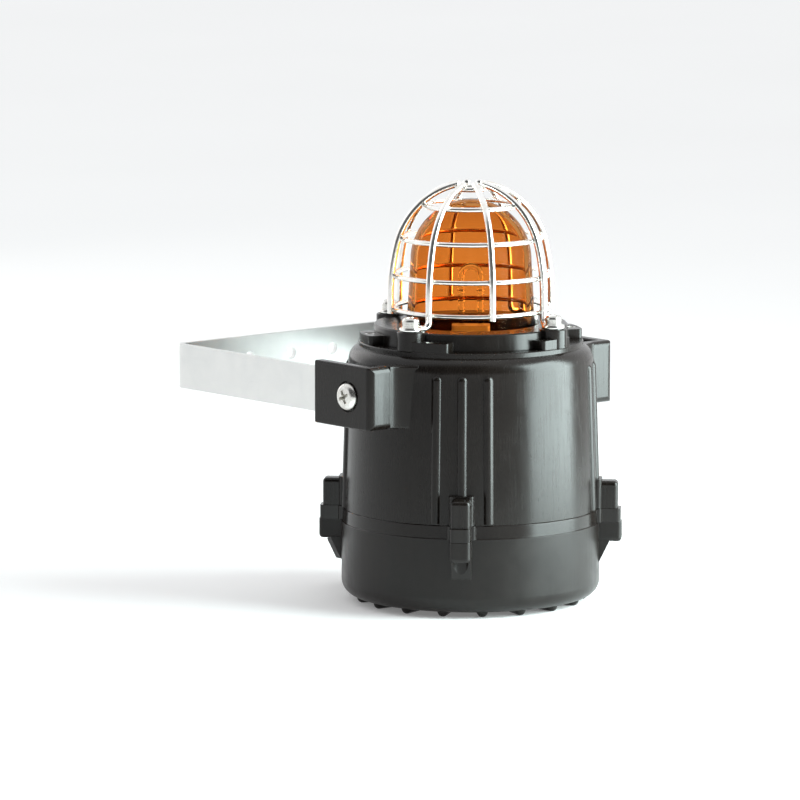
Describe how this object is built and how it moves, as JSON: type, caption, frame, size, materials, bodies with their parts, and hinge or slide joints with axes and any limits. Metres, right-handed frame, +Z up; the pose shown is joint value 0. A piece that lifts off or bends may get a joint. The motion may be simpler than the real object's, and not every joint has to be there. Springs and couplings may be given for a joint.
{
  "type": "guarded beacon light",
  "caption": "Rugged beacon light: amber glass dome in a wire guard on a black moulded housing with bolted base cover, hung by two pivot screws in a tilting flat-bar U bracket.",
  "frame": {"origin": "on the axis of the housing, at the level of the ribs and centre pad under the base cover", "axes": "+Z up along the housing's axis to the dome, +X to one pivot ear, +Y to the plate of the bracket (the wall side)"},
  "size_m": [0.1926, 0.242, 0.2437],
  "materials": {
    "housing_moulding": "black glass-reinforced polyester, semi-gloss, finely textured",
    "cover_moulding": "black glass-reinforced polyester, satin, finely textured",
    "flange_moulding": "black glass-reinforced polyester, semi-gloss",
    "amber_glass": "clear amber",
    "clear_glass": "clear",
    "bright_stainless": "polished stainless wire",
    "stainless_fixings": "bright stainless",
    "bracket_stainless": "satin stainless strip",
    "brass_insert": "turned",
    "plug_plastic": "black nylon",
    "seal_rubber": "black silicone",
    "plug_washer": "red fibre",
    "white_plastic": "white heat-resistant plastic",
    "circuit_board": "green lacquered laminate",
    "capacitor_sleeve": "blue shrink sleeve",
    "transformer_iron": "varnished laminations and coil",
    "bare_wire": "bare nickel wire",
    "wire_sleeve": "red insulated wire",
    "terminal_plastic": "natural polyamide"
  },
  "bodies": {
    "housing": {"housing_body": "housing_moulding", "base_cover": "cover_moulding", "cover_seal": "seal_rubber", "cover_bolts": "stainless_fixings", "cover_lock_washers": "stainless_fixings", "cover_inserts": "brass_insert", "entry_plug": "plug_plastic", "plug_seal": "plug_washer", "lens_flange": "flange_moulding", "flange_screws": "stainless_fixings", "glass_dome": "amber_glass", "dome_gaskets": "seal_rubber", "wire_guard": "bright_stainless", "guard_screws": "stainless_fixings", "guard_lock_washers": "stainless_fixings", "guard_washers": "stainless_fixings", "flash_tube": "clear_glass", "trigger_wires": "bare_wire", "tube_holder": "white_plastic", "lamp_tower": "white_plastic", "reflector_plate": "white_plastic", "lamp_board": "circuit_board", "lamp_board_pillars": "stainless_fixings", "lamp_board_screws": "stainless_fixings", "power_board": "circuit_board", "power_board_pillars": "stainless_fixings", "power_board_screws": "stainless_fixings", "capacitors": "capacitor_sleeve", "transformer": "transformer_iron", "link_wires": "wire_sleeve", "terminal_block": "terminal_plastic", "terminal_screws": "stainless_fixings", "earth_stud": "brass_insert", "earth_washer": "stainless_fixings", "earth_nut": "brass_insert", "pivot_screws": "stainless_fixings", "pivot_washers": "stainless_fixings", "pivot_lock_washers": "stainless_fixings", "pivot_nuts": "stainless_fixings"},
    "bracket": {"bracket": "bracket_stainless"}
  },
  "joints": [
    {"name": "bracket_tilt", "type": "hinge", "parent": "housing", "child": "bracket", "pos_m": [0, 0, 0.1265], "axis": [1, 0, 0], "range_deg": [-90, 90]}
  ]
}
